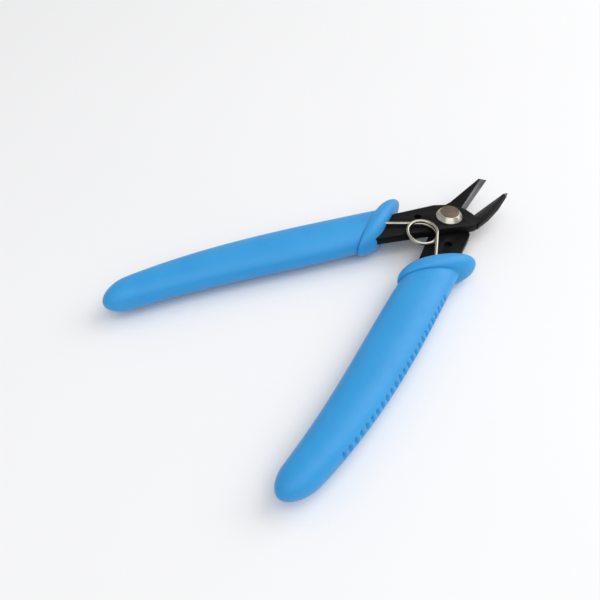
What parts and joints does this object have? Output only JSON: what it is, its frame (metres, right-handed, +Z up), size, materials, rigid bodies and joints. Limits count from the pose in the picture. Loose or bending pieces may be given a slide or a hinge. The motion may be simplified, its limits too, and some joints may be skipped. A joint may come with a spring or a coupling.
{
  "type": "micro side cutter",
  "caption": "Small spring-loaded side cutter: two stamped black plate levers on a rivet, a torsion spring between the handles, soft moulded grips with slanted collars.",
  "frame": {"origin": "centre of the footprint of the open tool, on the plane the grips rest on", "axes": "+X along the tool's centre line towards the cutting tips, +Y towards the upper lever's handle, +Z up along the rivet's axis"},
  "size_m": [0.122, 0.0846, 0.0116],
  "materials": {
    "blackened_steel": "satin black finish",
    "rivet_steel": "satin flat with a bright chamfer",
    "spring_wire": "bright nickel plate",
    "blue_grip": "smooth soft vinyl, light blue"
  },
  "bodies": {
    "lower_half": {"lower_lever": "blackened_steel", "lower_grip": "blue_grip", "pivot_rivet": "rivet_steel", "return_spring": "spring_wire"},
    "upper_half": {"upper_lever": "blackened_steel", "upper_grip": "blue_grip"}
  },
  "joints": [
    {"name": "handle_hinge", "type": "hinge", "parent": "lower_half", "child": "upper_half", "pos_m": [0.038, 0, 0.0058], "axis": [0, 0, 1], "range_deg": [0, 21], "stiffness_Nm_per_rad": 0.7, "springref_deg": -17.19, "deforming": ["return_spring"]}
  ]
}
